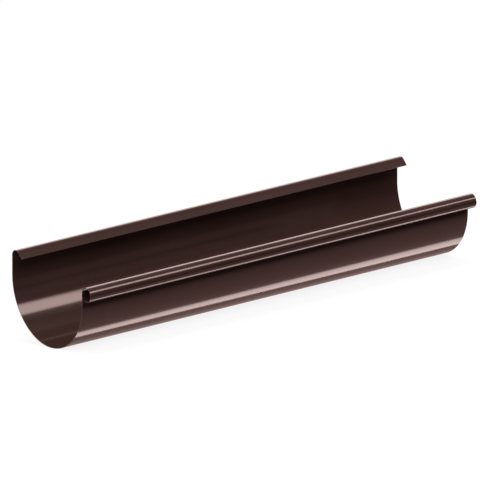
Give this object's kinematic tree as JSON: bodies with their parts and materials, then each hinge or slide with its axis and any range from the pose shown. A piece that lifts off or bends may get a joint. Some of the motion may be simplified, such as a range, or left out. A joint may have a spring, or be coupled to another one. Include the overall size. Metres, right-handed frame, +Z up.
{
  "type": "half-round gutter section",
  "caption": "Length of half-round eaves gutter, roll-formed from painted steel sheet, with an open front bead and an inward-curled rear edge.",
  "frame": {"origin": "on the floor, under the middle of the outline, as the loose length lies at rest", "axes": "+X along the gutter, +Y towards the roof (rear edge), front bead on the -Y side, +Z up. The length lies on its half-round, rolled 9.5 degrees towards the bead from the way it hangs on a house"},
  "size_m": [0.505, 0.1414, 0.1],
  "materials": {
    "painted_sheet": "satin"
  },
  "bodies": {
    "root": {"gutter": "painted_sheet"}
  },
  "joints": []
}
